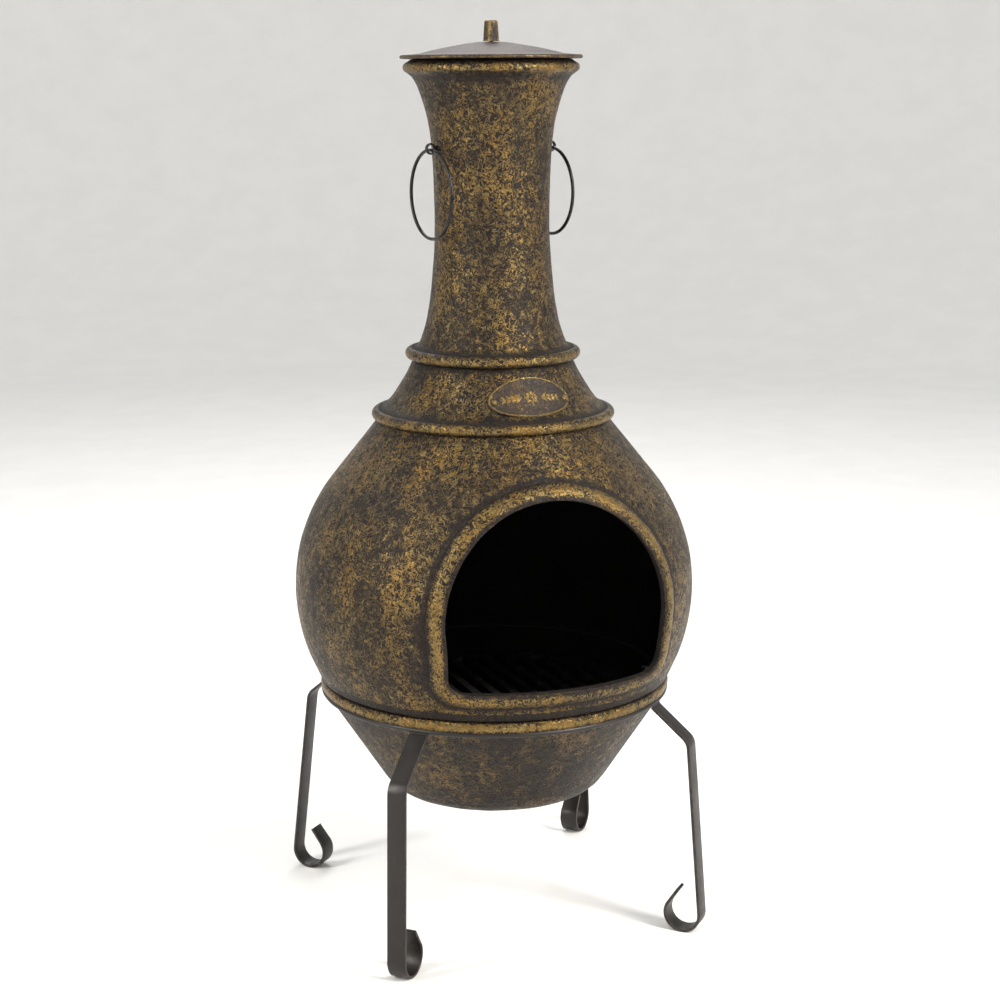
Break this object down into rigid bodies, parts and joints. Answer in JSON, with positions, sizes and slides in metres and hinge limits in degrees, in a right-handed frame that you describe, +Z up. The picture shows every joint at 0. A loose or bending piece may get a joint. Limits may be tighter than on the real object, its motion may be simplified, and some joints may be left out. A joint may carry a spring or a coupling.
{
  "type": "chiminea",
  "caption": "Cast-iron garden stove: round firebox with an arched fire mouth, waisted chimney with ring handles, loose rain lid, on a strap-iron stand with scrolled feet.",
  "frame": {"origin": "on the ground, on the common vertical axis of the castings", "axes": "+Z up; the fire mouth faces -Y; +X is to the right when looking into the mouth"},
  "size_m": [0.5356, 0.5277, 1.1947],
  "materials": {
    "bronzed_iron": "rough dark iron, high spots rubbed with bronze",
    "rubbed_bronze": "cast iron rubbed with bronze",
    "brown_iron": "fine-grained brown paint on cast iron",
    "sooty_iron": "bare iron, blackened by soot",
    "stand_paint": "dark brown satin paint",
    "black_wire": "black gloss paint on wire",
    "bolt_steel": "dull zinc, heat-stained"
  },
  "bodies": {
    "body": {"stand_ring": "stand_paint", "leg_front_left": "stand_paint", "leg_front_right": "stand_paint", "leg_back_left": "stand_paint", "leg_back_right": "stand_paint", "base_bowl": "bronzed_iron", "fire_grate": "sooty_iron", "belly": "bronzed_iron", "base_bolt_1": "bolt_steel", "base_nut_1": "bolt_steel", "base_bolt_2": "bolt_steel", "base_nut_2": "bolt_steel", "base_bolt_3": "bolt_steel", "base_nut_3": "bolt_steel", "shoulder_collar": "bronzed_iron", "waist_bolt_1": "bolt_steel", "waist_nut_1": "bolt_steel", "waist_bolt_2": "bolt_steel", "waist_nut_2": "bolt_steel", "waist_bolt_3": "bolt_steel", "waist_nut_3": "bolt_steel", "name_plate": "rubbed_bronze", "plate_rivet_left": "rubbed_bronze", "plate_rivet_right": "rubbed_bronze", "chimney_neck": "bronzed_iron", "neck_bolt_1": "bolt_steel", "neck_nut_1": "bolt_steel", "neck_bolt_2": "bolt_steel", "neck_nut_2": "bolt_steel", "neck_bolt_3": "bolt_steel", "neck_nut_3": "bolt_steel", "eye_bolt_left": "black_wire", "eye_washer_left": "bolt_steel", "eye_nut_left": "bolt_steel", "eye_bolt_right": "black_wire", "eye_washer_right": "bolt_steel", "eye_nut_right": "bolt_steel"},
    "lid": {"rain_lid": "brown_iron", "lid_knob": "rubbed_bronze", "knob_bolt": "bolt_steel"},
    "ring_left": {"ring_handle_left": "black_wire"},
    "ring_right": {"ring_handle_right": "black_wire"}
  },
  "joints": [
    {"name": "lid_lift", "type": "slide", "parent": "body", "child": "lid", "axis": [0, 0, 1], "range_m": [0, 0.1]},
    {"name": "ring_left_swing", "type": "hinge", "parent": "body", "child": "ring_left", "pos_m": [-0.08804, -0.013, 1.0325], "axis": [-0.1461, 0.9893, 0], "range_deg": [-4, 150]},
    {"name": "ring_right_swing", "type": "hinge", "parent": "body", "child": "ring_right", "pos_m": [0.08804, 0.013, 1.0325], "axis": [0.1461, -0.9893, 0], "range_deg": [-4, 150]}
  ]
}
